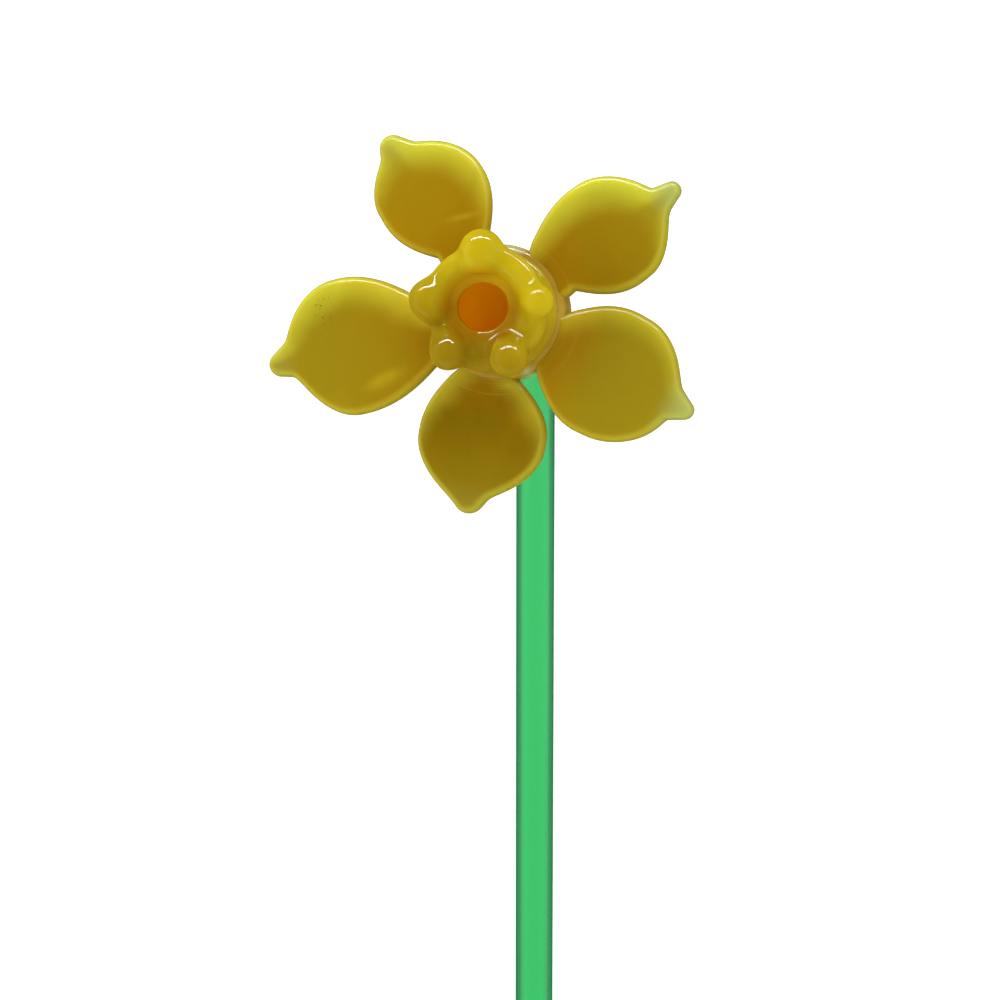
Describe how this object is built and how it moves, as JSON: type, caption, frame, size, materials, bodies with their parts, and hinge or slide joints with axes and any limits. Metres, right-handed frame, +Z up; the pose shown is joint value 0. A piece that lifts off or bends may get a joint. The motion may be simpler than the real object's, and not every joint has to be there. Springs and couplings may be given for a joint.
{
  "type": "glass daffodil flower",
  "caption": "Lamp-worked glass daffodil lying on its straight green glass stem, with opal-yellow petals and a lobed trumpet that has an orange throat.",
  "frame": {"origin": "under the middle of the whole thing's box, on the surface it lies on", "axes": "+Y along the stem towards the flower, +Z up, away from the surface and out of the flower's face"},
  "size_m": [0.0754, 0.2912, 0.031],
  "materials": {
    "green_glass": "polished transparent",
    "amber_glass": "polished, half clear",
    "trumpet_glass": "polished opal",
    "orange_glass": "polished opal",
    "petal_glass": "polished opal"
  },
  "bodies": {
    "root": {"stem": "green_glass", "collar": "amber_glass", "trumpet": "trumpet_glass", "throat": "orange_glass", "petal_1": "petal_glass", "petal_2": "petal_glass", "petal_3": "petal_glass", "petal_4": "petal_glass", "petal_5": "petal_glass"}
  },
  "joints": []
}
